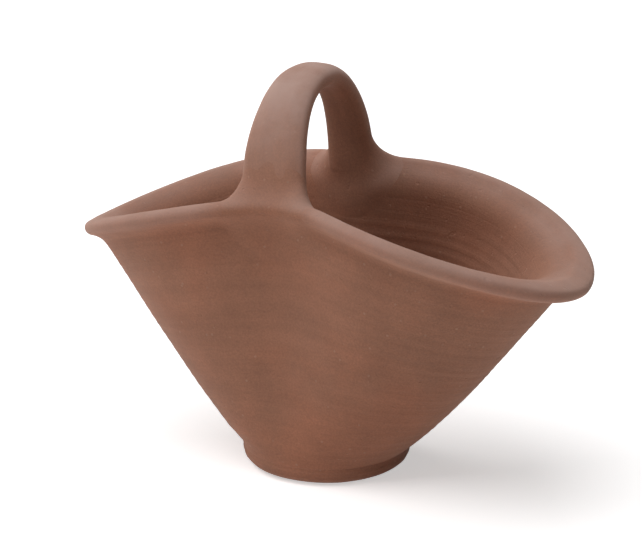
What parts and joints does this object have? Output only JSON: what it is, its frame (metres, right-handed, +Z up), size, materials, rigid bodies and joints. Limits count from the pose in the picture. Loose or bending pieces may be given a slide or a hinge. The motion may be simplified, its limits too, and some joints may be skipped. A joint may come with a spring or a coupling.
{
  "type": "basket oil lamp",
  "caption": "Unglazed terracotta lamp bowl on a low foot, thrown round and squeezed at the waist so its mouth is long, with a rolled lip and a flat strap handle bridging it.",
  "frame": {"origin": "middle of the foot's flat underside", "axes": "+Z up out of the mouth; +X along the long mouth, towards its slightly higher end; +Y across the waist, along the handle's arch"},
  "size_m": [0.16, 0.0744, 0.1176],
  "materials": {
    "wall_clay": "matte",
    "foot_clay": "matte",
    "lip_clay": "matte",
    "strap_clay": "matte",
    "luting_clay": "matte"
  },
  "bodies": {
    "root": {"thrown_bowl": "wall_clay", "turned_foot": "foot_clay", "rolled_rim": "lip_clay", "strap_handle": "strap_clay", "near_handle_pad": "luting_clay", "far_handle_pad": "luting_clay"}
  },
  "joints": []
}
